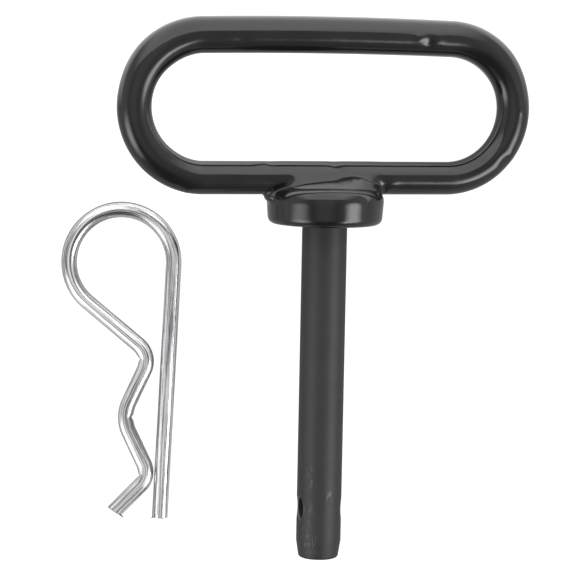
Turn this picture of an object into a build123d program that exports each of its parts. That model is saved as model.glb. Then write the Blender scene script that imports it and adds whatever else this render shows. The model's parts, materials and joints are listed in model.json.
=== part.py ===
from build123d import *

import os
from math import asin, atan, atan2, cos, degrees, hypot, radians, sin, sqrt

# A hitch pin with a dipped ring handle lies at rest on a flat surface, and its R-clip lies
# beside it. Lengths are in millimetres and angles in degrees. +Z is up and +Y runs from the
# tip of the pin towards its handle. The origin is where the pin's axis meets the face of the
# collar that seats on the drawbar.

# Shank
shank_diameter = 12.7
spigot_diameter = 10.5
seat_to_tip = 95.1
tip_taper_length = 5.0
tip_diameter = 11.2
tip_edge_radius = 0.9
seat_to_hole = 80.8
hole_diameter = 6.0
hole_countersink_diameter = 8.4
hole_countersink_angle = 90

# Collar
collar_diameter = 31.1
collar_thickness = 7.94
collar_edge_radius = 0.8

# Handle ring, bent from one rod and closed by a weld
rod_diameter = 7.94
low_bar_length = 70.9
bend_radius = 19.68
top_bar_bow = 0.53
ring_joint_offset = 2.9
ring_joint_gap = 2.2
ring_joint_neck = 0.35

# Weld between the ring and the collar
weld_root_gap = 0.3
weld_length = 27.0
weld_crest_length = 7.0
weld_leg = 5.6
weld_rise_angle = 17
weld_offset = 1.0
weld_lean = 5.5
weld_sink = 0.4

# Dipped coating
seat_coat = 0.75
seat_bare_width = 1.6
collar_top_coat = 0.7
collar_flank_coat_low = 0.45
collar_flank_coat_high = 1.3
collar_rim_radius = 1.3
collar_top_rim_radius = 1.5
low_bar_coat = 0.68
top_bar_coat = 1.31
coat_blend_radius = 0.9

# R-clip
wire_diameter = 4.5
clip_loop_radius = 15.0
clip_leg_length = 73.1
clip_end_chamfer = 0.35
clip_throat_angle = 37.0
clip_throat_length = 23.8
clip_throat_bend_radius = 6.2
clip_grip_angle = 67.9
clip_grip_length = 19.6
clip_grip_bend_radius = 10.0
clip_heel_angle = 61.7
clip_heel_length = 18.6
clip_heel_bend_radius = 5.5
clip_toe_angle = 48.1
clip_toe_length = 15.3
clip_loop_centre_x = -57.9
clip_loop_centre_y = -11.6
clip_turn = -2.05

# Radii and levels along the pin's axis that follow from the sizes above
shank_radius = shank_diameter / 2
spigot_radius = spigot_diameter / 2
rod_radius = rod_diameter / 2
wire_radius = wire_diameter / 2
collar_radius = collar_diameter / 2
collar_top = seat_coat + collar_thickness
coated_collar_top = collar_top + collar_top_coat
low_bar_level = collar_top + weld_root_gap + rod_radius
low_bar_half = low_bar_length / 2
low_bar_coated_radius = rod_radius + low_bar_coat
top_bar_coated_radius = rod_radius + top_bar_coat
bare_radius = shank_radius + seat_bare_width
flank_low_radius = collar_radius + collar_flank_coat_low
flank_high_radius = collar_radius + collar_flank_coat_high
bow_angle = 2 * degrees(atan(top_bar_bow / low_bar_half))
top_bar_radius = low_bar_half / sin(radians(bow_angle)) + bend_radius

# The pin lies on the rim of its coated collar and on the edge where its tip taper starts
flank_slope = (flank_high_radius - flank_low_radius) / coated_collar_top
rim_ring_radius = flank_low_radius + collar_rim_radius * (flank_slope - hypot(1, flank_slope))
rest_length = seat_to_tip - tip_taper_length
lever = hypot(rim_ring_radius - shank_radius, rest_length + collar_rim_radius)
pitch = atan2(rim_ring_radius - shank_radius, rest_length + collar_rim_radius)
pitch += asin(collar_rim_radius / lever)
seat_height = rest_length * sin(pitch) + shank_radius * cos(pitch)

# It has rolled over until the right end of the handle touches the surface as well
end_height = seat_height + (low_bar_level + bend_radius) * sin(pitch) - low_bar_coated_radius
level_half = low_bar_half * cos(pitch)
level_bend = bend_radius * cos(pitch)
height_term = end_height**2 - (bend_radius * sin(pitch)) ** 2
root_term = (end_height * level_half) ** 2 - (level_half**2 - level_bend**2) * height_term
roll = asin(height_term / (end_height * level_half + sqrt(root_term)))

# Directions and planes of the pin as it lies
axis_dir = Vector(0, cos(pitch), sin(pitch))
across_dir = Vector(1, 0, 0).rotate(Axis((0, 0, 0), axis_dir), degrees(roll))
facing_dir = across_dir.cross(axis_dir)
pin_axis = Axis((0, 0, 0), axis_dir)
pin_plane = Plane(origin=(0, 0, 0), x_dir=across_dir, z_dir=facing_dir)
seat_plane = Plane(origin=(0, 0, 0), x_dir=across_dir, z_dir=axis_dir)
bar_plane = Plane(origin=axis_dir * low_bar_level, x_dir=facing_dir * -1, z_dir=across_dir)

os.makedirs("parts", exist_ok=True)


# Shank: turned from bar, with a spigot that the collar sits on, a tapered tip, and a cross
# hole for the clip that is countersunk at both ends
with BuildPart() as shank:
    with BuildSketch(pin_plane) as shank_profile:
        with BuildLine():
            Polyline(
                (0, collar_top),
                (spigot_radius, collar_top),
                (spigot_radius, seat_coat),
                (shank_radius, seat_coat),
                (shank_radius, -rest_length),
                (tip_diameter / 2, -seat_to_tip),
                (0, -seat_to_tip),
                close=True,
            )
        make_face()
        tip_corner = shank_profile.vertices().group_by(Axis.Y)[0].sort_by(Axis.X)[-1]
        fillet(tip_corner, radius=tip_edge_radius)
    revolve(axis=pin_axis)
    hole_centre = axis_dir * -seat_to_hole
    for side in (1, -1):
        mouth = Plane(
            origin=hole_centre + across_dir * side * shank_radius,
            x_dir=axis_dir,
            z_dir=across_dir * side,
        )
        with Locations(mouth):
            CounterSinkHole(
                radius=hole_diameter / 2,
                counter_sink_radius=hole_countersink_diameter / 2,
                depth=shank_radius,
                counter_sink_angle=hole_countersink_angle,
            )
shank.part.label = "shank"
export_step(shank.part, "parts/shank.step")


# Collar: a thick washer welded round the head of the shank
with BuildPart() as collar:
    with BuildSketch(seat_plane.offset(seat_coat)):
        Circle(collar_radius)
        Circle(spigot_radius, mode=Mode.SUBTRACT)
    extrude(amount=collar_thickness)
    rim_edges = collar.edges().filter_by(GeomType.CIRCLE).group_by(SortBy.RADIUS)[-1]
    fillet(rim_edges, radius=collar_edge_radius)
collar.part.label = "collar"
export_step(collar.part, "parts/collar.step")


# Centreline of the handle ring, in the plane of the pin's axis
joint_right = ring_joint_offset + ring_joint_gap / 2
joint_left = ring_joint_offset - ring_joint_gap / 2
with BuildLine(pin_plane) as ring_line:
    low_right = Line((joint_right, low_bar_level), (low_bar_half, low_bar_level))
    right_low = JernArc(low_right @ 1, low_right % 1, bend_radius, 90)
    right_high = JernArc(right_low @ 1, right_low % 1, bend_radius, 90 - bow_angle)
    top_bar = JernArc(right_high @ 1, right_high % 1, top_bar_radius, 2 * bow_angle)
    left_high = JernArc(top_bar @ 1, top_bar % 1, bend_radius, 90 - bow_angle)
    left_low = JernArc(left_high @ 1, left_high % 1, bend_radius, 90)
    low_left = Line(left_low @ 1, (joint_left, low_bar_level))

# Handle rod: round bar bent into a long ring, its ends facing each other over the collar
with BuildPart() as handle_rod:
    with BuildSketch(bar_plane.offset(joint_right)):
        Circle(rod_radius)
    sweep(path=ring_line.line)
handle_rod.part.label = "handle_rod"
export_step(handle_rod.part, "parts/handle_rod.step")


# Ring weld: the necked bead that joins the two ends of the rod
with BuildPart() as ring_weld:
    with BuildSketch(pin_plane) as neck:
        with BuildLine():
            Polyline(
                (joint_left, low_bar_level + rod_radius),
                (joint_left, low_bar_level),
                (joint_right, low_bar_level),
                (joint_right, low_bar_level + rod_radius),
            )
            ThreePointArc(
                (joint_right, low_bar_level + rod_radius),
                (ring_joint_offset, low_bar_level + rod_radius - ring_joint_neck),
                (joint_left, low_bar_level + rod_radius),
            )
        make_face()
    revolve(axis=Axis(axis_dir * low_bar_level, across_dir))
ring_weld.part.label = "ring_weld"
export_step(ring_weld.part, "parts/ring_weld.step")


def weld_mound(bar_radius, foot_level):
    """Mound of weld round a bar of one radius: an oval on the collar that rises to the bar."""
    skin = bar_radius - rod_radius
    rise = radians(weld_rise_angle)
    crest_level = low_bar_level + bar_radius * sin(rise)
    with BuildPart() as mound:
        with BuildSketch(seat_plane.offset(foot_level)):
            with Locations((weld_offset, 0)):
                Ellipse(weld_length / 2 + skin, bar_radius + weld_leg)
        with BuildSketch(seat_plane.offset(crest_level)):
            with Locations((weld_offset + weld_lean, 0)):
                Ellipse(weld_crest_length / 2 + skin, bar_radius * cos(rise) - weld_sink)
        loft()
    return mound.part


# Handle weld: one run round the bar, where it crosses the collar
with BuildPart() as handle_weld:
    add(weld_mound(rod_radius, collar_top))
    add(handle_rod.part, mode=Mode.SUBTRACT)
    add(ring_weld.part, mode=Mode.SUBTRACT)
handle_weld.part.label = "handle_weld"
export_step(handle_weld.part, "parts/handle_weld.step")


# Coating: the skin that a dip in liquid plastic leaves on the handle, the weld and the collar.
# It is wiped back from the shank on the seat, so that nothing stands in the way of the drawbar
with BuildPart() as coating:
    with BuildSketch(pin_plane) as collar_coat_profile:
        with BuildLine():
            Polyline(
                (bare_radius, 0),
                (flank_low_radius, 0),
                (flank_high_radius, coated_collar_top),
                (0, coated_collar_top),
                (0, seat_coat),
                (bare_radius, seat_coat),
                close=True,
            )
        make_face()
        low_rim = collar_coat_profile.vertices().group_by(Axis.Y)[0].sort_by(Axis.X)[-1]
        fillet(low_rim, radius=collar_rim_radius)
        high_rim = collar_coat_profile.vertices().group_by(Axis.Y)[-1].sort_by(Axis.X)[-1]
        fillet(high_rim, radius=collar_top_rim_radius)
    revolve(axis=pin_axis)
    add(weld_mound(low_bar_coated_radius, coated_collar_top - weld_sink))
    with BuildLine(pin_plane) as low_coat_line:
        Line(left_low @ 1, right_low @ 0)
        add([left_low, right_low])
    with BuildSketch(Plane(origin=left_low @ 0, x_dir=across_dir, z_dir=left_low % 0)):
        Circle(low_bar_coated_radius)
    sweep(path=low_coat_line.line)
    lowest_junction = coated_collar_top - collar_top_rim_radius
    highest_junction = low_bar_level + rod_radius
    junction_edges = (
        coating.edges()
        .filter_by(GeomType.CIRCLE, reverse=True)
        .filter_by_position(Axis((0, 0, 0), across_dir), -flank_high_radius, flank_high_radius)
        .filter_by_position(pin_axis, lowest_junction, highest_junction)
    )
    fillet(junction_edges, radius=coat_blend_radius)
    for bend in (right_high, left_high):
        thick_end = 1 if bend is right_high else 0
        thin_end = 1 - thick_end
        with BuildSketch(Plane(origin=bend @ thin_end, x_dir=facing_dir, z_dir=bend % thin_end)):
            Circle(low_bar_coated_radius)
        with BuildSketch(Plane(origin=bend @ thick_end, x_dir=facing_dir, z_dir=bend % thick_end)):
            Circle(top_bar_coated_radius)
        sweep(path=bend, multisection=True)
    with BuildSketch(Plane(origin=top_bar @ 0, x_dir=facing_dir, z_dir=top_bar % 0)):
        Circle(top_bar_coated_radius)
    sweep(path=top_bar)
    for core in (handle_rod, ring_weld, handle_weld, collar, shank):
        add(core.part, mode=Mode.SUBTRACT)
coating.part.label = "coating"
export_step(coating.part, "parts/coating.step")


# R-clip: spring wire bent flat, with one straight leg and one waved leg that grips the shank
clip_plane = Plane(
    origin=(clip_loop_centre_x, clip_loop_centre_y, wire_radius - seat_height),
    x_dir=(cos(radians(clip_turn)), sin(radians(clip_turn)), 0),
    z_dir=(0, 0, 1),
)
with BuildPart() as r_clip:
    with BuildLine(clip_plane) as clip_line:
        leg = Line((clip_loop_radius, -clip_leg_length), (clip_loop_radius, 0))
        loop = JernArc(leg @ 1, leg % 1, clip_loop_radius, 270 - clip_throat_angle)
        throat = PolarLine(loop @ 1, clip_throat_length, -clip_throat_angle, mode=Mode.PRIVATE)
        grip = PolarLine(throat @ 1, clip_grip_length, clip_grip_angle - 180, mode=Mode.PRIVATE)
        heel = PolarLine(grip @ 1, clip_heel_length, -clip_heel_angle, mode=Mode.PRIVATE)
        toe = PolarLine(heel @ 1, clip_toe_length, clip_toe_angle - 180, mode=Mode.PRIVATE)
        FilletPolyline(
            throat @ 0,
            throat @ 1,
            grip @ 1,
            heel @ 1,
            toe @ 1,
            radius=[clip_throat_bend_radius, clip_grip_bend_radius, clip_heel_bend_radius],
        )
    with BuildSketch(Plane(origin=leg @ 0, x_dir=clip_plane.x_dir, z_dir=leg % 0)):
        Circle(wire_radius)
    sweep(path=clip_line.line)
    wire_ends = r_clip.faces().filter_by(GeomType.PLANE).edges()
    chamfer(wire_ends, length=clip_end_chamfer)
r_clip.part.label = "r_clip"
export_step(r_clip.part, "parts/r_clip.step")
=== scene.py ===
import json
from math import cos, exp, radians, sin, tan

import bmesh
import bpy
import numpy as np
from mathutils import Matrix, Vector


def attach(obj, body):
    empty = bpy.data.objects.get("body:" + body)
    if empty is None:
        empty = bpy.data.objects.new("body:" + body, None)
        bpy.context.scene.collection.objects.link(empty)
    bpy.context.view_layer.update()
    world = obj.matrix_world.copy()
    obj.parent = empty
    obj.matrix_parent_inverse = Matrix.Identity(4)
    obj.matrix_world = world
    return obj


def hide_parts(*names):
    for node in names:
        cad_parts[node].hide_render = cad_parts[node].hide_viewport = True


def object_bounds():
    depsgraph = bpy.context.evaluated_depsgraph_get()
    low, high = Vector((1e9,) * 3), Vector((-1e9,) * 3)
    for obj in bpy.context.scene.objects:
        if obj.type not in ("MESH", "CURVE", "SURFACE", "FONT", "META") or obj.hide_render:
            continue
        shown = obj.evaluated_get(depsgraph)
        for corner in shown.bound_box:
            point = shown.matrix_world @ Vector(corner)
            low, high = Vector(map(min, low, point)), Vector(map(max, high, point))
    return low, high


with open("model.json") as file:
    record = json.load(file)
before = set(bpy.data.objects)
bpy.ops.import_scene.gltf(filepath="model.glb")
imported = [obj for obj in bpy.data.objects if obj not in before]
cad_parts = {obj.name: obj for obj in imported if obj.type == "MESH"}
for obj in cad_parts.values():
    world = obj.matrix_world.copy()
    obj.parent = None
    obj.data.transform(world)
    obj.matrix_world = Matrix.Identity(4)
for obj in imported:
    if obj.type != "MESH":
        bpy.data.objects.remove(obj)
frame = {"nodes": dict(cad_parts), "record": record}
cad_low, cad_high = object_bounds()

# A hitch pin with a dipped ring handle lies on a pale surface beside its R-clip. All lengths
# are in metres, apart from the values whose comment says millimetres. The pin's own axes are
# x across, y along the pin towards the handle, z facing up, and its pose at rest is read
# from the mounts on it.
MM = 0.001
hair = 0.01 * MM
mounts = {mount["name"]: mount for mount in frame["record"]["mounts"]}
pin_along = -Vector(mounts["shank"]["axis"]).normalized()
pin_across = -Vector(mounts["clip_hole"]["axis"]).normalized()
pin_facing = pin_across.cross(pin_along)
pin_pose = Matrix((pin_across, pin_along, pin_facing)).transposed().to_4x4()
surface_level = cad_low.z

# Sizes of the pin. The grip starts at a share of the way from the ring's middle to its top bar.
hole_radius = mounts["clip_hole"]["dims"]["r_mm"] * MM
hole_level = pin_along.dot(Vector(mounts["clip_hole"]["pos_m"]))
low_bar_level = 12.96 * MM
low_bar_half = 35.45 * MM
bend_radius = 19.68 * MM
low_bar_radius = 4.65 * MM
top_bar_extra = 0.59 * MM
left_bend_extra = 0.33 * MM
sleeve_extra = 0.08 * MM
sleeve_half = 13 * MM
sleeve_taper = 8 * MM
grip_start = 0.2
top_bar_bow = 0.53 * MM
collar_top = 10.4 * MM
collar_low_radius = 16.0 * MM
collar_high_radius = 16.75 * MM
collar_rim_radius = 1.9 * MM
collar_top_rim_radius = 3.6 * MM
collar_top_sag = 0.5 * MM
collar_sag_start = 4.0 * MM

# The weld, in millimetres and degrees: the height of its upper edge along the bar, the level and
# the tilt of its brow, the tilt of its face at the upper edge and at the foot, how far the foot
# lies under the top of the collar, how far it fades in from both ends, and how deep its root is
weld_crest = (
    (-13.6, 9.2),
    (-12.9, 10.2),
    (-11.0, 11.1),
    (-8.5, 11.8),
    (-2.8, 12.5),
    (1.4, 12.9),
    (3.4, 13.6),
    (6.0, 14.0),
    (8.6, 13.7),
    (11.8, 12.4),
    (14.2, 11.4),
    (15.4, 9.2),
)
weld_brow_level = 14.56
weld_brow_tilt = 20
weld_tilt = (48, 64)
weld_toe_drop = 0.1
weld_fade = (4.5, 4.0)
weld_root = 2

# The skin that hangs in the corner between the bar and the left of the collar
drop_place = (-16.2 * MM, 7.9 * MM, 0.8 * MM)
drop_stretch = (1.7, 1.7, 3.4)

# How fine the skin is over the weld and the collar, and how often it is smoothed
skin_voxel = 0.27 * MM
skin_passes = 10

# Where the skin has run smooth, in millimetres on the pin's own axes: place, reach and passes
melted_places = (
    ((-15.8, 8.4, 2.4), 2.6, 90),
    ((-10.5, 13.6, 3.8), 3.0, 90),
    ((13.0, 13.4, 3.8), 2.6, 90),
    ((15.8, 9.6, 3.4), 2.0, 60),
)

# Bumps and dents of the dip, in millimetres on the pin's own axes: place, reach and depth
skin_marks = (
    ((25.3, 52.4, 5.1), (1.5, 1.1, 2.5), 0.17),
    ((27.8, 51.4, 4.9), (1.5, 1.1, 2.5), -0.22),
    ((30.5, 52.0, 5.0), (1.8, 1.6, 2.5), 0.08),
    ((24.0, 54.6, 4.6), (3.0, 1.4, 2.5), -0.06),
    ((-28.4, 53.2, 5.0), (2.6, 2.0, 2.5), 0.05),
    ((-26.6, 51.5, 5.0), (1.8, 1.8, 2.5), -0.04),
    ((51.9, 17.5, 3.9), (1.9, 1.9, 2.5), -0.36),
    ((53.6, 19.9, 3.8), (1.5, 1.5, 2.5), 0.16),
    ((56.0, 32.1, 4.5), (0.9, 0.9, 2.0), 0.10),
    ((-40.1, 9.6, 2.5), (1.4, 1.2, 2.0), 0.22),
    ((-18.6, 17.1, 2.1), (2.2, 1.0, 1.6), 0.22),
    ((-16.6, 17.2, 1.8), (1.2, 1.0, 1.6), -0.12),
    ((2.4, 16.6, 2.6), (1.7, 2.6, 2.6), -0.30),
    ((-16.2, 9.4, 3.0), (0.8, 0.8, 1.2), 0.30),
    ((17.1, 9.1, 2.6), (0.7, 0.7, 1.0), 0.26),
    ((18.4, 11.3, 4.3), (1.6, 1.3, 1.6), 0.12),
)

# Worn places of the shank, in millimetres on the pin's own axes: middle and reach
scuffs = (
    ((-3.8, -88.0, 5.0), (2.4, 11.0, 4.0)),
    ((-4.0, -71.0, 4.9), (1.4, 4.0, 3.0)),
    ((1.2, -77.0, 6.2), (1.2, 4.0, 3.0)),
)

# Sizes of the clip, whose wire is bent flat
wire_radius = 2.25 * MM
wire_sides = 48
wire_step = 1.2 * MM
bend_step = 0.5 * MM
clip_loop_radius = 15.0 * MM
clip_leg_length = 73.1 * MM
clip_end_chamfer = 0.35 * MM
loop_turn = radians(233.0)
throat_length = 23.8 * MM
throat_turn = radians(75.1)
throat_bend_radius = 6.2 * MM
grip_length = 19.6 * MM
grip_turn = radians(50.4)
grip_bend_radius = 10.0 * MM
heel_length = 18.6 * MM
heel_turn = radians(70.2)
heel_bend_radius = 5.5 * MM
toe_length = 15.3 * MM
clip_loop_centre = (-57.9 * MM, -11.6 * MM)
clip_turn = radians(-2.05)
draw_line_stretch = 0.012
toe_slant = 0.7 * MM
toe_skew = 0.9 * MM
leg_slant = 0.5 * MM

# The marks of the bending tool: each lies at a share of its bend, counted back from its end. The
# reach and the depth are in millimetres.
throat_pinch = 0.45
grip_pinch = 0.5
heel_pinch = 0.4
pinch_reach = (1.3, 0.55, 2.0)
pinch_depth = 0.5

# The camera looks straight down from where the photographer stood
camera_height = 0.700
camera_x = -9.99 * MM
camera_y = -18.20 * MM
camera_turn = radians(1.10)
camera_lens = 152.1

# The lamps are soft panels a metre away. Each has a direction, a width and a height, a power in
# watts, and the share of it over which it fades out. The wide one behind fades only sideways.
back_panel_lean = radians(56)
back_panel_size = (2.3, 1.34)
back_panel_power = 20
back_panel_fade = 0.55
front_panels = (
    ("left_panel", (-0.74, -0.48, 0.52), (0.9, 0.8), 11, 0.9),
    ("right_panel", (0.86, -0.34, 0.50), (0.74, 0.64), 8, 0.6),
    ("front_panel", (0.66, -0.56, 0.58), (0.44, 0.4), 3, 0.8),
)

# The room is dim, and brighter at both sides and overhead. Each reach says from where to where it
# brightens, as the x or the z of a direction.
room_dim = 0.13
side_light = 0.9
side_reach = (0.2, 0.8)
overhead_light = 0.75
overhead_reach = (0.8, 0.97)

# The card's own shade, the white that it adds for the lens, its painted glow in reflections, dim at
# the front and a painted sheen behind the handle, and from which y to which y that glow changes
card_shade = 0.3
card_white = 0.9
card_painted_glow = (0.24, 1.9)
card_glow_reach = (0.03, 0.075)

# Colours of the finishes, each from its darkest to its lightest
vinyl_black = ((0.005, 0.005, 0.0053, 1), (0.008, 0.008, 0.0085, 1))
oxide_black = ((0.028, 0.028, 0.028, 1), (0.038, 0.038, 0.039, 1))
# The colour of the worn places, which also paints the highlight round the cross hole
bare_steel_and_highlight = (0.16, 0.16, 0.16, 1)
zinc_grey = ((0.14, 0.14, 0.15, 1), (0.9, 0.9, 0.91, 1))
mill_scale = ((0.09, 0.09, 0.1, 1), (0.2, 0.195, 0.19, 1))
heat_tint = ((0.14, 0.14, 0.15, 1), (0.27, 0.24, 0.19, 1))


def only(piece):
    """Selects one object, and makes it the active one."""
    bpy.ops.object.select_all(action="DESELECT")
    piece.select_set(True)
    bpy.context.view_layer.objects.active = piece


def apply_modifier(piece, kind, **settings):
    """Adds a modifier with these settings and applies it."""
    modifier = piece.modifiers.new(kind.title(), kind)
    for name, value in settings.items():
        setattr(modifier, name, value)
    only(piece)
    bpy.ops.object.modifier_apply(modifier=modifier.name)


def select_near(piece, test):
    """Selects the points of a piece that pass a test of their place, and no others."""
    only(piece)
    bpy.ops.object.mode_set(mode="EDIT")
    bpy.ops.mesh.select_all(action="DESELECT")
    bpy.ops.object.mode_set(mode="OBJECT")
    for vertex in piece.data.vertices:
        vertex.select = test(piece.matrix_world @ vertex.co)
    bpy.ops.object.mode_set(mode="EDIT")
    bpy.ops.mesh.select_mode(type="VERT")


def pull_run(vector, steps):
    """Extrudes the selected ring of points along a vector, in equal steps."""
    step = Vector(vector) / steps
    for _ in range(steps):
        bpy.ops.mesh.extrude_region_move(TRANSFORM_OT_translate={"value": step})


def merge_points(distance):
    """Merges points that lie on each other, and turns the faces outwards."""
    bpy.ops.mesh.select_all(action="SELECT")
    bpy.ops.mesh.remove_doubles(threshold=distance)
    bpy.ops.mesh.normals_make_consistent(inside=False)


def join_pieces(name, pieces):
    """Joins pieces into one mesh whose object sits at the origin."""
    bpy.ops.object.select_all(action="DESELECT")
    for piece in pieces:
        piece.select_set(True)
    bpy.context.view_layer.objects.active = pieces[0]
    bpy.ops.object.transform_apply(location=True, rotation=True, scale=True)
    if len(pieces) > 1:
        bpy.ops.object.join()
    joined = bpy.context.object
    joined.name = name
    joined.data.name = name
    return joined


def places_of(piece):
    """The places of a piece's points, as the rows of an array."""
    places = np.empty(len(piece.data.vertices) * 3)
    piece.data.vertices.foreach_get("co", places)
    return places.reshape(-1, 3)


def normals_of(piece):
    """The normals of a piece's points, as the rows of an array."""
    normals = np.empty(len(piece.data.vertices) * 3)
    piece.data.vertices.foreach_get("normal", normals)
    return normals.reshape(-1, 3)


def move_points(piece, places):
    """Puts a piece's points at new places."""
    piece.data.vertices.foreach_set("co", places.ravel())
    piece.data.update()


def press(piece, place, reach, depth):
    """Raises the skin round a place, or presses it in, fading out over a reach on each axis."""
    places = places_of(piece)
    away = (places - np.array(place) * MM) / (np.array(reach) * MM)
    fade = np.exp(-(away**2).sum(axis=1))
    move_points(piece, places + normals_of(piece) * fade[:, None] * depth * MM)


def smooth_step(value):
    """0 below 0, 1 above 1, and an even S between them."""
    value = np.clip(value, 0, 1)
    return value * value * (3 - 2 * value)


def place_camera():
    """A long lens straight above the object, level with the surface."""
    bpy.ops.object.camera_add(
        location=(camera_x, camera_y, surface_level + camera_height),
        rotation=(0, 0, camera_turn),
    )
    camera = bpy.context.object
    camera.data.lens = camera_lens
    camera.data.clip_start = 0.05
    camera.data.clip_end = 20
    bpy.context.scene.camera = camera


def new_material(name):
    """An empty node material: its nodes, its links and its principled shader."""
    material = bpy.data.materials.new(name)
    material.use_nodes = True
    nodes = material.node_tree.nodes
    return material, nodes, material.node_tree.links, nodes["Principled BSDF"]


def feed(links, value, socket):
    """Links the output of another node to a socket, or sets the socket to a number or a colour."""
    if isinstance(value, bpy.types.NodeSocket):
        links.new(value, socket)
    else:
        socket.default_value = value


def new_math(nodes, links, operation, *values):
    """Works out a value from others."""
    step = nodes.new("ShaderNodeMath")
    step.operation = operation
    for value, socket in zip(values, step.inputs):
        feed(links, value, socket)
    return step.outputs[0]


def new_range(nodes, links, value, before, after):
    """Maps a value from one range to another."""
    remap = nodes.new("ShaderNodeMapRange")
    remap.inputs["From Min"].default_value = before[0]
    remap.inputs["From Max"].default_value = before[1]
    remap.inputs["To Min"].default_value = after[0]
    remap.inputs["To Max"].default_value = after[1]
    links.new(value, remap.inputs["Value"])
    return remap.outputs["Result"]


def new_mapping(nodes, links, vector, kind="POINT", **settings):
    """Moves, turns or stretches a vector."""
    mapping = nodes.new("ShaderNodeMapping")
    mapping.vector_type = kind
    for name, value in settings.items():
        mapping.inputs[name].default_value = value
    links.new(vector, mapping.inputs["Vector"])
    return mapping.outputs["Vector"]


def new_fade(nodes, links, vector):
    """1 where a vector is zero, down to 0 where its length is 1."""
    fade = nodes.new("ShaderNodeTexGradient")
    fade.gradient_type = "SPHERICAL"
    links.new(vector, fade.inputs["Vector"])
    return fade.outputs["Fac"]


def new_noise(nodes, links, vector, scale, detail, roughness=0.5):
    """A noise of one scale over a vector."""
    noise = nodes.new("ShaderNodeTexNoise")
    noise.inputs["Scale"].default_value = scale
    noise.inputs["Detail"].default_value = detail
    noise.inputs["Roughness"].default_value = roughness
    links.new(vector, noise.inputs["Vector"])
    return noise.outputs["Fac"]


def new_bump(nodes, links, height, depth, strength, under=None):
    """A relief from a height, laid over another one."""
    bump = nodes.new("ShaderNodeBump")
    bump.inputs["Strength"].default_value = strength
    bump.inputs["Distance"].default_value = depth
    links.new(height, bump.inputs["Height"])
    if under:
        links.new(under, bump.inputs["Normal"])
    return bump.outputs["Normal"]


def new_mix(nodes, links, share, first, second):
    """A colour between two colours."""
    mix = nodes.new("ShaderNodeMix")
    mix.data_type = "RGBA"
    links.new(share, mix.inputs["Factor"])
    feed(links, first, mix.inputs["A"])
    feed(links, second, mix.inputs["B"])
    return mix.outputs["Result"]


def pin_coordinates(nodes, links, scale=(1, 1, 1)):
    """Places on the pin's own axes, with each axis stretched by a scale."""
    place = nodes.new("ShaderNodeTexCoord")
    turn = pin_pose.to_euler()
    turned = new_mapping(nodes, links, place.outputs["Object"], "TEXTURE", Rotation=turn)
    return new_mapping(nodes, links, turned, Scale=scale)


def floor_material():
    """White card, evenly white to the lens, with a painted glow in reflections: bright behind, dim in
    front.
    """
    material, nodes, links, principled = new_material("white_card")
    principled.inputs["Base Color"].default_value = (card_shade, card_shade, card_shade, 1)
    principled.inputs["Roughness"].default_value = 0.9
    principled.inputs["Specular IOR Level"].default_value = 0.1
    principled.inputs["Emission Color"].default_value = (1, 1, 1, 1)
    rays = nodes.new("ShaderNodeLightPath")
    place = nodes.new("ShaderNodeTexCoord")
    axes = nodes.new("ShaderNodeSeparateXYZ")
    links.new(place.outputs["Object"], axes.inputs["Vector"])
    # Painted glow, seen only in reflections: dim at the front, a painted sheen behind the handle
    painted_glow = new_range(nodes, links, axes.outputs["Y"], card_glow_reach, card_painted_glow)
    white = new_math(nodes, links, "MULTIPLY", rays.outputs["Is Camera Ray"], card_white)
    glow = new_math(nodes, links, "MULTIPLY_ADD", rays.outputs["Is Glossy Ray"], painted_glow, white)
    links.new(glow, principled.inputs["Emission Strength"])
    return material


def lay_floor():
    """A pale card under the object, much wider than the view."""
    bpy.ops.mesh.primitive_plane_add(size=3, location=(0, 0, surface_level))
    floor = bpy.context.object
    floor.name = "floor"
    floor.data.materials.append(floor_material())


def soften_panel(lamp, share, sideways):
    """Fades a panel out towards its edge, or only sideways, over a share of its size."""
    lamp.use_nodes = True
    nodes = lamp.node_tree.nodes
    links = lamp.node_tree.links
    surface = nodes.new("ShaderNodeNewGeometry").outputs["Parametric"]
    rows = 0 if sideways else 1
    centred = new_mapping(nodes, links, surface, Location=(-1, -rows, 0), Scale=(2, 2 * rows, 0))
    level = new_range(nodes, links, new_fade(nodes, links, centred), (0, share), (0, 1))
    links.new(level, nodes["Emission"].inputs["Strength"])


def hang_panel(name, direction, size, power, fade, sideways=False):
    """A rectangular lamp, a metre away, that faces the object from one direction."""
    place = Vector(direction).normalized()
    across = Vector((0, 1, 0)).cross(place).normalized()
    facing = Matrix((across, place.cross(across), place)).transposed()
    bpy.ops.object.light_add(type="AREA", location=place, rotation=facing.to_euler())
    lamp = bpy.context.object
    lamp.name = name
    lamp.data.shape = "RECTANGLE"
    lamp.data.size, lamp.data.size_y = size
    lamp.data.energy = power
    soften_panel(lamp.data, fade, sideways)


def light_studio():
    """A wide panel behind, and three soft ones in front."""
    behind = (0, sin(back_panel_lean), cos(back_panel_lean))
    hang_panel("back_panel", behind, back_panel_size, back_panel_power, back_panel_fade, sideways=True)
    for name, direction, size, power, fade in front_panels:
        hang_panel(name, direction, size, power, fade)


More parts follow.
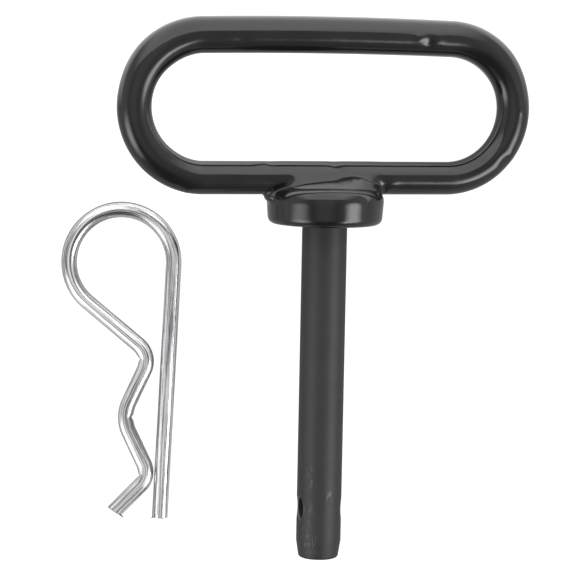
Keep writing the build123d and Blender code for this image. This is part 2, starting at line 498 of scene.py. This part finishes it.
def light_room():
    """A dim room, brighter at both sides and overhead, and white to the lens."""
    world = bpy.data.worlds.new("room")
    bpy.context.scene.world = world
    world.use_nodes = True
    nodes = world.node_tree.nodes
    links = world.node_tree.links
    direction = nodes.new("ShaderNodeTexCoord")
    axes = nodes.new("ShaderNodeSeparateXYZ")
    links.new(direction.outputs["Generated"], axes.inputs["Vector"])
    aside = new_math(nodes, links, "ABSOLUTE", axes.outputs["X"])
    sides = new_range(nodes, links, aside, side_reach, (room_dim, side_light))
    overhead = new_range(nodes, links, axes.outputs["Z"], overhead_reach, (room_dim, overhead_light))
    rays = nodes.new("ShaderNodeLightPath")
    level = nodes.new("ShaderNodeMapRange")
    level.inputs["To Max"].default_value = 1.0
    links.new(rays.outputs["Is Camera Ray"], level.inputs["Value"])
    links.new(new_math(nodes, links, "MAXIMUM", sides, overhead), level.inputs["To Min"])
    nodes["Background"].inputs["Color"].default_value = (1, 1, 1, 1)
    links.new(level.outputs["Result"], nodes["Background"].inputs["Strength"])


def coating_material():
    """Black dipped vinyl: deep gloss, with faint waves of the dip and a fine grain."""
    material, nodes, links, principled = new_material("dipped_vinyl")
    place = pin_coordinates(nodes, links)
    cloud = new_noise(nodes, links, place, 90, 3)
    grain = new_noise(nodes, links, place, 1500, 2)
    links.new(new_mix(nodes, links, cloud, *vinyl_black), principled.inputs["Base Color"])
    links.new(new_range(nodes, links, cloud, (0.35, 0.65), (0.1, 0.17)), principled.inputs["Roughness"])
    waves = new_bump(nodes, links, cloud, 0.25 * MM, 0.35)
    relief = new_bump(nodes, links, grain, 0.006 * MM, 0.5, waves)
    links.new(relief, principled.inputs["Normal"])
    return material


def worn_patches(nodes, links, place, scratches):
    """How worn the shank is, where its scratches lie in a patch."""
    strokes = new_range(nodes, links, scratches, (0.52, 0.72), (0, 0.8))
    worn = 0
    for middle, reach in scuffs:
        centre = Vector(middle) * MM
        size = Vector(reach) * MM
        patch = new_mapping(nodes, links, place, "TEXTURE", Location=centre, Scale=size)
        worn = new_math(nodes, links, "MULTIPLY_ADD", new_fade(nodes, links, patch), strokes, worn)
    return worn


def hole_edge_highlight(nodes, links, place, worn):
    """Adds to what is worn a thin bright ring round the mouth of the cross hole: a painted highlight.
    """
    from_hole = new_mapping(nodes, links, place, "TEXTURE", Location=(0, hole_level, 0))
    flat = nodes.new("ShaderNodeVectorMath")
    flat.operation = "MULTIPLY"
    flat.inputs[1].default_value = (0, 1, 1)
    links.new(from_hole, flat.inputs[0])
    away = nodes.new("ShaderNodeVectorMath")
    away.operation = "LENGTH"
    links.new(flat.outputs["Vector"], away.inputs[0])
    # The painted highlight: a thin bright ring just outside the edge of the hole
    inner_edge = (hole_radius + 0.05 * MM, hole_radius + 0.2 * MM)
    outer_edge = (hole_radius + 0.7 * MM, hole_radius + 0.3 * MM)
    inner = new_range(nodes, links, away.outputs["Value"], inner_edge, (0, 1))
    outer = new_range(nodes, links, away.outputs["Value"], outer_edge, (0, 0.7))
    ringed = new_math(nodes, links, "MULTIPLY_ADD", inner, outer, worn)
    ringed.node.use_clamp = True
    return ringed


def shank_material():
    """Black oxide on turned steel: fine rings of the tool, worn places towards the tip, and a painted
    highlight round the cross hole.
    """
    material, nodes, links, principled = new_material("black_oxide")
    principled.inputs["Metallic"].default_value = 0.5
    place = pin_coordinates(nodes, links)
    rings = new_noise(nodes, links, pin_coordinates(nodes, links, (0.02, 1, 0.02)), 4200, 3)
    cloud = new_noise(nodes, links, place, 160, 4)
    scratches = new_noise(nodes, links, pin_coordinates(nodes, links, (1.5, 0.5, 1.0)), 900, 6)
    # worn holds the worn places and the painted highlight round the cross hole
    worn = hole_edge_highlight(nodes, links, place, worn_patches(nodes, links, place, scratches))
    oxide = new_mix(nodes, links, cloud, *oxide_black)
    links.new(new_mix(nodes, links, worn, oxide, bare_steel_and_highlight), principled.inputs["Base Color"])
    links.new(new_range(nodes, links, rings, (0.3, 0.7), (0.46, 0.56)), principled.inputs["Roughness"])
    turned = new_bump(nodes, links, rings, 0.012 * MM, 0.5)
    relief = new_bump(nodes, links, scratches, 0.02 * MM, 0.4, turned)
    links.new(relief, principled.inputs["Normal"])
    return material


def clip_material():
    """Bright zinc on drawn wire: long fine lines along the wire, some bright and some grey."""
    material, nodes, links, principled = new_material("bright_zinc")
    principled.inputs["Metallic"].default_value = 1.0
    straightened = nodes.new("ShaderNodeAttribute")
    straightened.attribute_name = "straightened"
    drawn = new_mapping(nodes, links, straightened.outputs["Vector"], Scale=(1, draw_line_stretch, 1))
    lines = new_noise(nodes, links, drawn, 2600, 5, roughness=0.75)
    shade = nodes.new("ShaderNodeValToRGB")
    for stop, position, colour in zip(shade.color_ramp.elements, (0.4, 0.56), zinc_grey):
        stop.position = position
        stop.color = colour
    links.new(lines, shade.inputs["Fac"])
    links.new(shade.outputs["Color"], principled.inputs["Base Color"])
    links.new(new_range(nodes, links, lines, (0, 1), (0.12, 0.3)), principled.inputs["Roughness"])
    links.new(new_bump(nodes, links, lines, 0.08 * MM, 0.6), principled.inputs["Normal"])
    return material


def steel_material():
    """Bar and plate steel as it leaves the mill: grey scale with darker clouds."""
    material, nodes, links, principled = new_material("mill_steel")
    principled.inputs["Metallic"].default_value = 0.8
    place = pin_coordinates(nodes, links)
    cloud = new_noise(nodes, links, place, 220, 4)
    grain = new_noise(nodes, links, place, 2400, 3)
    links.new(new_mix(nodes, links, cloud, *mill_scale), principled.inputs["Base Color"])
    links.new(new_range(nodes, links, cloud, (0.3, 0.7), (0.38, 0.6)), principled.inputs["Roughness"])
    links.new(new_bump(nodes, links, grain, 0.02 * MM, 0.5), principled.inputs["Normal"])
    return material


def weld_material():
    """Weld metal: close ripples along the bead, with straw and grey tints of the heat."""
    material, nodes, links, principled = new_material("weld_metal")
    principled.inputs["Metallic"].default_value = 0.85
    cloud = new_noise(nodes, links, pin_coordinates(nodes, links), 260, 2)
    ripples = new_noise(nodes, links, pin_coordinates(nodes, links, (1, 0.15, 0.15)), 1300, 1)
    links.new(new_mix(nodes, links, cloud, *heat_tint), principled.inputs["Base Color"])
    links.new(new_range(nodes, links, ripples, (0.3, 0.7), (0.3, 0.5)), principled.inputs["Roughness"])
    links.new(new_bump(nodes, links, ripples, 0.12 * MM, 0.6), principled.inputs["Normal"])
    return material


def dress(material, *names):
    """Gives CAD nodes a finish."""
    for name in names:
        slots = frame["nodes"][name].data.materials
        slots.clear()
        slots.append(material)


def dipped_ring():
    """The tube of the handle: a round section drawn and spun round its long ring."""
    ring_sides = 72
    run_steps = 142
    bend_steps = 100
    level = Vector((0, low_bar_level, 0))
    across = Vector((low_bar_half, 0, 0))
    centre_rise = Vector((0, bend_radius, 0))
    bpy.ops.mesh.primitive_circle_add(
        vertices=ring_sides,
        radius=low_bar_radius,
        location=level - across,
        rotation=(0, radians(90), 0),
    )
    ring = bpy.context.object
    bpy.ops.object.mode_set(mode="EDIT")
    pull_run(2 * across, run_steps)
    bpy.ops.mesh.spin(
        steps=bend_steps, angle=radians(-180), center=level + across + centre_rise, axis=(0, 0, 1)
    )
    pull_run(-2 * across, run_steps)
    bpy.ops.mesh.spin(
        steps=bend_steps, angle=radians(-180), center=level - across + centre_rise, axis=(0, 0, 1)
    )
    merge_points(hair)
    bpy.ops.object.mode_set(mode="OBJECT")
    return ring


def thicken_grip(piece):
    """The skin is thicker along the grip and inside the left bend, and the grip bows outwards."""
    places = places_of(piece)
    normals = normals_of(piece)
    middle = low_bar_level + bend_radius
    above = (places[:, 1] - middle) / bend_radius
    rise = smooth_step((above - grip_start) / (1 - grip_start))
    bow = top_bar_bow * np.clip(1 - (places[:, 0] / low_bar_half) ** 2, 0, 1)
    from_centre = np.stack([places[:, 0] + low_bar_half, places[:, 1] - middle], axis=1)
    outwards = from_centre / np.linalg.norm(from_centre, axis=1)[:, None]
    inside = np.clip(-(normals[:, :2] * outwards).sum(axis=1), 0, 1)
    bend = smooth_step((-low_bar_half - places[:, 0]) / bend_radius * 2)
    places += normals * (rise * top_bar_extra + bend * inside * left_bend_extra)[:, None]
    places[:, 1] += bow * rise
    move_points(piece, places)


def bar_sleeve():
    """A slightly thicker skin on the bar where it meets the collar, that tapers away in it."""
    shrink = (low_bar_radius - sleeve_extra) / (low_bar_radius + sleeve_extra)
    bpy.ops.mesh.primitive_cylinder_add(
        vertices=96,
        radius=low_bar_radius + sleeve_extra,
        depth=2 * sleeve_half,
        location=(0, low_bar_level, 0),
        rotation=(0, radians(90), 0),
    )
    sleeve = bpy.context.object
    for side in (-1, 1):
        select_near(sleeve, lambda place: side * place.x > 0.99 * sleeve_half)
        step = Vector((side * sleeve_taper, 0, 0))
        bpy.ops.mesh.extrude_region_move(TRANSFORM_OT_translate={"value": step})
        end = (side * (sleeve_half + sleeve_taper), low_bar_level, 0)
        bpy.ops.transform.resize(value=(shrink, shrink, shrink), center_override=end)
        bpy.ops.object.mode_set(mode="OBJECT")
    return sleeve


def dipped_collar():
    """The collar under its skin: a short cylinder that widens to the top, with round rims."""
    collar_sides = 160
    rim_segments = 8
    bpy.ops.mesh.primitive_cylinder_add(
        vertices=collar_sides,
        radius=collar_low_radius,
        depth=collar_top,
        location=(0, collar_top / 2, 0),
        rotation=(radians(90), 0, 0),
    )
    collar = bpy.context.object
    select_near(collar, lambda place: place.y > collar_top / 2)
    widening = collar_high_radius / collar_low_radius
    bpy.ops.transform.resize(value=(widening, 1, widening), center_override=(0, collar_top, 0))
    bpy.ops.mesh.bevel(offset=collar_top_rim_radius, segments=rim_segments, affect="EDGES")
    bpy.ops.object.mode_set(mode="OBJECT")
    select_near(collar, lambda place: place.y < hair)
    bpy.ops.mesh.bevel(offset=collar_rim_radius, segments=rim_segments, affect="EDGES")
    bpy.ops.object.mode_set(mode="OBJECT")
    bpy.ops.object.transform_apply(location=True, rotation=True, scale=True)
    places = places_of(collar)
    rise = (places[:, 1] - collar_sag_start) / (collar_top - collar_sag_start)
    aside = places[:, 0] / collar_high_radius
    places[:, 1] -= collar_top_sag * aside**2 * np.clip(rise, 0, 1)
    move_points(collar, places)
    return collar


def weld_mound():
    """The weld under the skin: its face leans back from the collar to the front of the bar."""
    top_share = 0.5
    brow_share = 0.8
    bpy.ops.mesh.primitive_uv_sphere_add(segments=128, ring_count=96, radius=1)
    mound = bpy.context.object
    places = places_of(mound)
    ends = (weld_crest[0][0], weld_crest[-1][0])
    x = ends[0] + (places[:, 0] + 1) / 2 * (ends[1] - ends[0])
    crest = np.interp(x, *zip(*weld_crest))
    toe = (collar_top - collar_top_sag * (x * MM / collar_high_radius) ** 2) / MM - weld_toe_drop
    brow_slope = tan(radians(weld_brow_tilt))
    bar_radius = (low_bar_radius + sleeve_extra) / MM
    brow_out = np.sqrt(bar_radius**2 - (weld_brow_level - low_bar_level / MM) ** 2)
    from_ends = (x - ends[0]) / weld_fade[0], (ends[1] - x) / weld_fade[1]
    share = smooth_step(from_ends[0]) * smooth_step(from_ends[1])
    bar_out = np.sqrt(bar_radius**2 - (crest - low_bar_level / MM) ** 2)
    crest_out = brow_out + (weld_brow_level - crest) * brow_slope
    crest_out = bar_out + (crest_out - bar_out) * share
    height = np.clip(crest - toe, 0, None)
    slope_top, slope_toe = np.tan(np.radians(weld_tilt))
    climb = np.arctan2(places[:, 1], np.abs(places[:, 2])) / radians(90)
    face = np.clip(climb / top_share, 0, 1)
    brow = np.clip((climb - top_share) / (brow_share - top_share), 0, 1)
    over = np.clip((climb - brow_share) / (1 - brow_share), 0, 1)
    lean = slope_top + (slope_toe - slope_top) / 2 * (1 - face)
    out = crest_out + height * (1 - face) * lean + (brow_out - crest_out) * brow
    y = toe + height * face + (weld_brow_level - toe - height) * brow
    y = np.where(climb > 0, y, toe - weld_root)
    z = out * np.where(climb > 0, 1 - over, 1 + climb)
    move_points(mound, np.stack([x, y, np.sign(places[:, 2]) * z], axis=1) * MM)
    return mound


def fillet_drop():
    """The skin hangs in the corner between the bar and the left of the collar."""
    bpy.ops.mesh.primitive_uv_sphere_add(segments=48, ring_count=32, radius=MM, location=drop_place)
    drop = bpy.context.object
    drop.scale = drop_stretch
    return drop


def soften_near(skin, place, reach, passes):
    """Melts the skin round a place, fading out over a reach."""
    places = places_of(skin)
    away = np.linalg.norm(places - np.array(place) * MM, axis=1) / (reach * MM)
    group = skin.vertex_groups.new(name="melted")
    for index in np.flatnonzero(away < 2):
        group.add([int(index)], exp(-away[index] ** 2), "REPLACE")
    apply_modifier(skin, "SMOOTH", factor=0.5, iterations=passes, vertex_group=group.name)
    skin.vertex_groups.clear()


def lay_down(piece):
    """Turns a piece from the pin's own axes to the pose in which the pin lies."""
    piece.matrix_world = pin_pose
    only(piece)
    bpy.ops.object.transform_apply(location=True, rotation=True, scale=True)


def finish_skin(skin, vinyl):
    """Marks a skin with its bumps and dents, lays it down and dresses it."""
    for place, reach, depth in skin_marks:
        press(skin, place, reach, depth)
    lay_down(skin)
    skin.data.materials.clear()
    skin.data.materials.append(vinyl)
    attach(skin, "root")
    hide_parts("coating")


def make_coating():
    """The dipped skin: one mesh over the ring, and one melted over the weld and the collar."""
    vinyl = coating_material()
    ring = join_pieces("ring_skin", [dipped_ring()])
    bpy.ops.object.shade_smooth()
    thicken_grip(ring)
    finish_skin(ring, vinyl)
    forms = [bar_sleeve(), dipped_collar(), weld_mound(), fillet_drop()]
    skin = join_pieces("collar_skin", forms)
    apply_modifier(skin, "REMESH", mode="VOXEL", voxel_size=skin_voxel, use_smooth_shade=True)
    apply_modifier(skin, "SMOOTH", factor=0.5, iterations=skin_passes)
    for place, reach, passes in melted_places:
        soften_near(skin, place, reach, passes)
    finish_skin(skin, vinyl)


class Wire:
    """A wire that is drawn out and bent step by step, flat on its own x and y."""

    def __init__(self, start, heading, sides):
        self.place = Vector((*start, 0))
        self.heading = heading
        bpy.ops.mesh.primitive_circle_add(
            vertices=sides,
            radius=wire_radius,
            location=self.place,
            rotation=(radians(90), 0, heading - radians(90)),
        )
        self.piece = bpy.context.object
        bpy.ops.object.transform_apply(location=True, rotation=True, scale=True)
        bpy.ops.object.mode_set(mode="EDIT")
        self.length = 0
        self.route = [(self.place.copy(), self.heading, self.length)]

    def ahead(self):
        """The direction in which the wire goes on."""
        return Vector((cos(self.heading), sin(self.heading), 0))

    def run(self, length):
        """Draws the wire out straight."""
        steps = max(1, round(length / wire_step))
        pull_run(self.ahead() * length, steps)
        start = self.place.copy()
        for step in range(1, steps + 1):
            here = start + self.ahead() * length * step / steps
            self.route.append((here, self.heading, self.length + length * step / steps))
        self.place = start + self.ahead() * length
        self.length += length

    def bend(self, turn, radius):
        """Bends the wire round a pin, to the left for a positive turn."""
        side = 1 if turn > 0 else -1
        steps = max(2, round(abs(turn) * radius / bend_step))
        out = Vector((-sin(self.heading), cos(self.heading), 0)) * side * radius
        centre = self.place + out
        bpy.ops.mesh.spin(steps=steps, angle=-turn, center=centre, axis=(0, 0, 1))
        arm = self.place - centre
        for step in range(1, steps + 1):
            turned = turn * step / steps
            here = centre + Matrix.Rotation(turned, 3, "Z") @ arm
            length = self.length + abs(turned) * radius
            self.route.append((here, self.heading + turned, length))
        self.place = self.route[-1][0].copy()
        self.heading += turn
        self.length += abs(turn) * radius

    def at(self, length, side=0):
        """The place at a length along the wire, on its left side for 1 and its right for -1."""
        here, heading, start = min(self.route, key=lambda mark: abs(mark[2] - length))
        here = here + Vector((cos(heading), sin(heading), 0)) * (length - start)
        return here + Vector((-sin(heading), cos(heading), 0)) * side * wire_radius

    def straighten(self):
        """Writes where each point would lie if the wire were pulled straight again."""
        places = places_of(self.piece)
        marks = np.array([(*here[:2], heading, length) for here, heading, length in self.route])
        gaps = places[:, None, :2] - marks[None, :, :2]
        nearest = (gaps**2).sum(axis=2).argmin(axis=1)
        gap = gaps[np.arange(len(places)), nearest]
        heading = marks[nearest, 2]
        along = gap[:, 0] * np.cos(heading) + gap[:, 1] * np.sin(heading)
        aside = gap[:, 1] * np.cos(heading) - gap[:, 0] * np.sin(heading)
        flat = np.stack([aside, marks[nearest, 3] + along, places[:, 2]], axis=1)
        layer = self.piece.data.attributes.new("straightened", "FLOAT_VECTOR", "POINT")
        layer.data.foreach_set("vector", flat.ravel())


def bend_clip():
    """Bends the clip from one wire: a straight leg, a round eye and a waved leg with its pinches."""
    throat_set = tan(throat_turn / 2) * throat_bend_radius
    grip_set = tan(grip_turn / 2) * grip_bend_radius
    heel_set = tan(heel_turn / 2) * heel_bend_radius
    leg_start = (clip_loop_radius, -clip_leg_length + clip_end_chamfer)
    wire = Wire(leg_start, radians(90), wire_sides)
    wire.run(clip_leg_length - clip_end_chamfer)
    wire.bend(loop_turn, clip_loop_radius)
    wire.run(throat_length - throat_set)
    wire.bend(-throat_turn, throat_bend_radius)
    pinches = [wire.at(wire.length - throat_turn * throat_bend_radius * throat_pinch, -1)]
    wire.run(grip_length - throat_set - grip_set)
    wire.bend(grip_turn, grip_bend_radius)
    pinches.append(wire.at(wire.length - grip_turn * grip_bend_radius * grip_pinch, 1))
    wire.run(heel_length - grip_set - heel_set)
    wire.bend(-heel_turn, heel_bend_radius)
    pinches.append(wire.at(wire.length - heel_turn * heel_bend_radius * heel_pinch, -1))
    wire.run(toe_length - heel_set - clip_end_chamfer)
    return wire, pinches


def middle_of_selection():
    """The mean place of the selected points of the mesh in edit mode."""
    shape = bmesh.from_edit_mesh(bpy.context.object.data)
    chosen = [vertex.co.copy() for vertex in shape.verts if vertex.select]
    return sum(chosen, Vector()) / len(chosen)


def close_end(chamfer, outward):
    """Chamfers and closes the selected end of a wire."""
    middle = middle_of_selection()
    bpy.ops.mesh.extrude_region_move(TRANSFORM_OT_translate={"value": outward * chamfer})
    shrink = 1 - chamfer / wire_radius
    rim_middle = middle + outward * chamfer
    bpy.ops.transform.resize(value=(shrink, shrink, shrink), center_override=rim_middle)
    bpy.ops.mesh.edge_face_add()
    bpy.ops.mesh.inset(thickness=wire_radius / 3)
    bpy.ops.mesh.inset(thickness=wire_radius / 3)


def slant_end(clip, end, outward, slant, skew):
    """Leans the cut face of an end, so that its upper edge and its left edge stand back."""
    bitten = 1.6 * MM
    left = Vector((-outward.y, outward.x, 0))
    places = places_of(clip)
    along = (places - np.array(end)) @ np.array(outward)
    share = np.clip(1 + along / bitten, 0, 1)
    height = (places[:, 2] + wire_radius) / (2 * wire_radius)
    near = np.linalg.norm(places - np.array(end), axis=1) < 2 * wire_radius
    aside = (places - np.array(end)) @ np.array(left) / (2 * wire_radius) + 0.5
    back = share * near * (height * slant + aside * skew)
    places -= np.array(outward) * back[:, None]
    move_points(clip, places)


def make_clip():
    """The R-clip: its wire with cut ends, pressed in where it was bent, and its finish."""
    wire, pinches = bend_clip()
    clip = wire.piece
    leg_end = Vector((clip_loop_radius, -clip_leg_length, 0))
    leg_ahead = Vector((0, -1, 0))
    open_end = -clip_leg_length + clip_end_chamfer
    close_end(clip_end_chamfer, wire.ahead())
    bpy.ops.object.mode_set(mode="OBJECT")
    select_near(clip, lambda place: place.y < open_end + hair and place.x > 0)
    close_end(clip_end_chamfer, leg_ahead)
    merge_points(hair)
    bpy.ops.object.mode_set(mode="OBJECT")
    toe = wire.place + wire.ahead() * clip_end_chamfer
    slant_end(clip, toe, wire.ahead(), toe_slant, toe_skew)
    slant_end(clip, leg_end, leg_ahead, leg_slant, 0)
    wire.straighten()
    for place in pinches:
        press(clip, place / MM, pinch_reach, -pinch_depth)
    clip.name = "spring_clip"
    turn = Matrix.Rotation(clip_turn, 4, "Z")
    shift = Matrix.Translation((*clip_loop_centre, surface_level + wire_radius))
    clip.matrix_world = shift @ turn
    only(clip)
    bpy.ops.object.transform_apply(location=True, rotation=True, scale=True)
    bpy.ops.object.shade_smooth_by_angle(angle=radians(35))
    clip.data.materials.append(clip_material())
    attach(clip, "root")
    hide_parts("r_clip")


place_camera()
lay_floor()
light_studio()
light_room()
make_coating()
make_clip()
dress(shank_material(), "shank")
dress(steel_material(), "collar", "handle_rod")
dress(weld_material(), "handle_weld", "ring_weld")

bpy.context.scene.view_settings.view_transform = "Standard"
